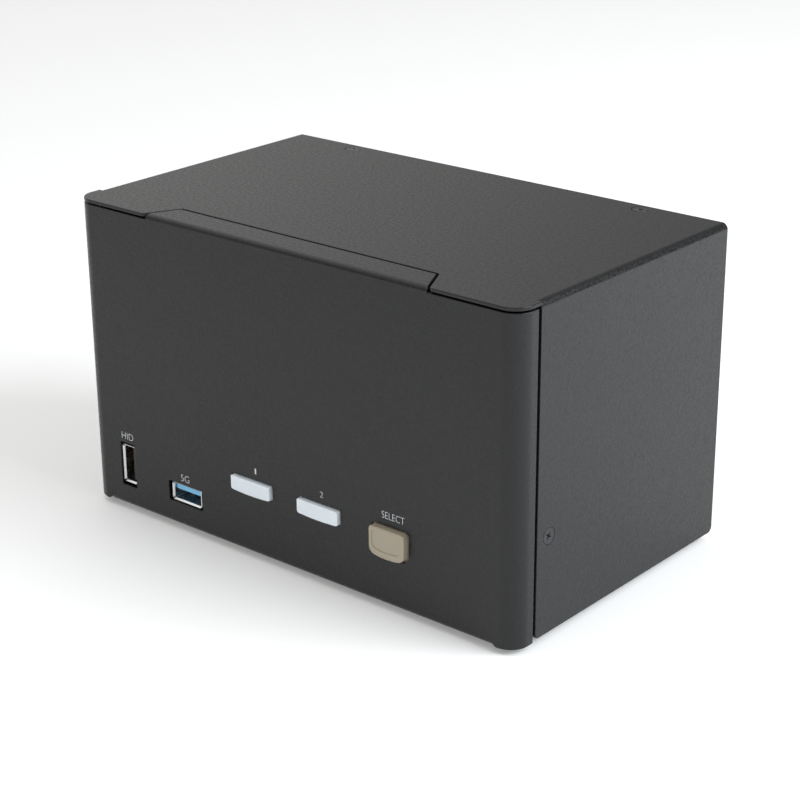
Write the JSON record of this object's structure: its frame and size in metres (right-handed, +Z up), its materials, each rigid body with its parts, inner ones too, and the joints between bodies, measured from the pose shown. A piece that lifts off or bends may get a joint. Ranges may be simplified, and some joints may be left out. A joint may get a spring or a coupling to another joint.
{
  "type": "kvm switch",
  "caption": "Desktop KVM switch: black folded-steel case with a panel of two data sockets, two lamp windows and a push button, and sockets for computers and screens behind.",
  "frame": {"origin": "middle of the case in X and Y, on the surface that the rubber feet stand on", "axes": "+Z up, the front panel faces -Y, +X is to the right seen from the front"},
  "size_m": [0.185, 0.113, 0.11],
  "materials": {
    "case_paint": "fine satin black powder coat",
    "screw_black": "black zinc, satin",
    "plated_steel": "bright nickel plate",
    "socket_metal": "bright tin plate",
    "black_plastic": "fine satin",
    "blue_plastic": "satin",
    "contact_gold": "gold flash",
    "window_frost": "frosted, pale blue-white",
    "button_plastic": "satin taupe",
    "board_green": "solder mask",
    "chip_black": "moulded epoxy",
    "sink_aluminium": "extruded, satin",
    "standoff_brass": "turned",
    "cap_sleeve": "shrunk sleeve",
    "plug_cream": "satin",
    "led_resin": "clear resin",
    "foot_rubber": "matt",
    "ring_green": "satin"
  },
  "bodies": {
    "case": {"cover": "case_paint", "front_panel": "case_paint", "rear_panel": "case_paint", "base_tray": "case_paint", "rubber_feet": "foot_rubber", "top_screws": "screw_black", "side_screws": "screw_black", "base_screws": "screw_black", "panel_screws": "screw_black", "stud_nuts": "plated_steel", "ground_screw": "plated_steel", "lamp_window_1": "window_frost", "lamp_window_2": "window_frost", "switch_body": "black_plastic", "button_frame": "black_plastic", "button_board": "board_green", "button_header": "black_plastic", "lamp_leds": "led_resin", "hid_shell": "socket_metal", "hid_insert": "black_plastic", "hid_contacts": "contact_gold", "fast_shell": "socket_metal", "fast_insert": "blue_plastic", "fast_contacts": "contact_gold", "main_board": "board_green", "video_board_1": "board_green", "video_board_2": "board_green", "video_board_3": "board_green", "base_standoffs": "standoff_brass", "stack_standoffs": "standoff_brass", "board_screws": "plated_steel", "board_sockets": "black_plastic", "board_plugs": "plug_cream", "video_chips": "chip_black", "heat_sinks": "sink_aluminium", "hub_chips": "chip_black", "capacitors": "cap_sleeve", "video_shells": "socket_metal", "video_inserts": "black_plastic", "host_shells": "socket_metal", "host_inserts": "black_plastic", "console_shells": "socket_metal", "console_inserts": "black_plastic", "audio_jacks": "black_plastic", "audio_rings": "ring_green", "power_inlet": "black_plastic", "power_pin": "plated_steel"},
    "button": {"select_button": "button_plastic", "switch_plunger": "black_plastic"}
  },
  "joints": [
    {"name": "button_press", "type": "slide", "parent": "case", "child": "button", "axis": [0, 1, 0], "range_m": [0, 0.0008], "stiffness_N_per_m": 1500, "springref_m": -0.0006}
  ]
}
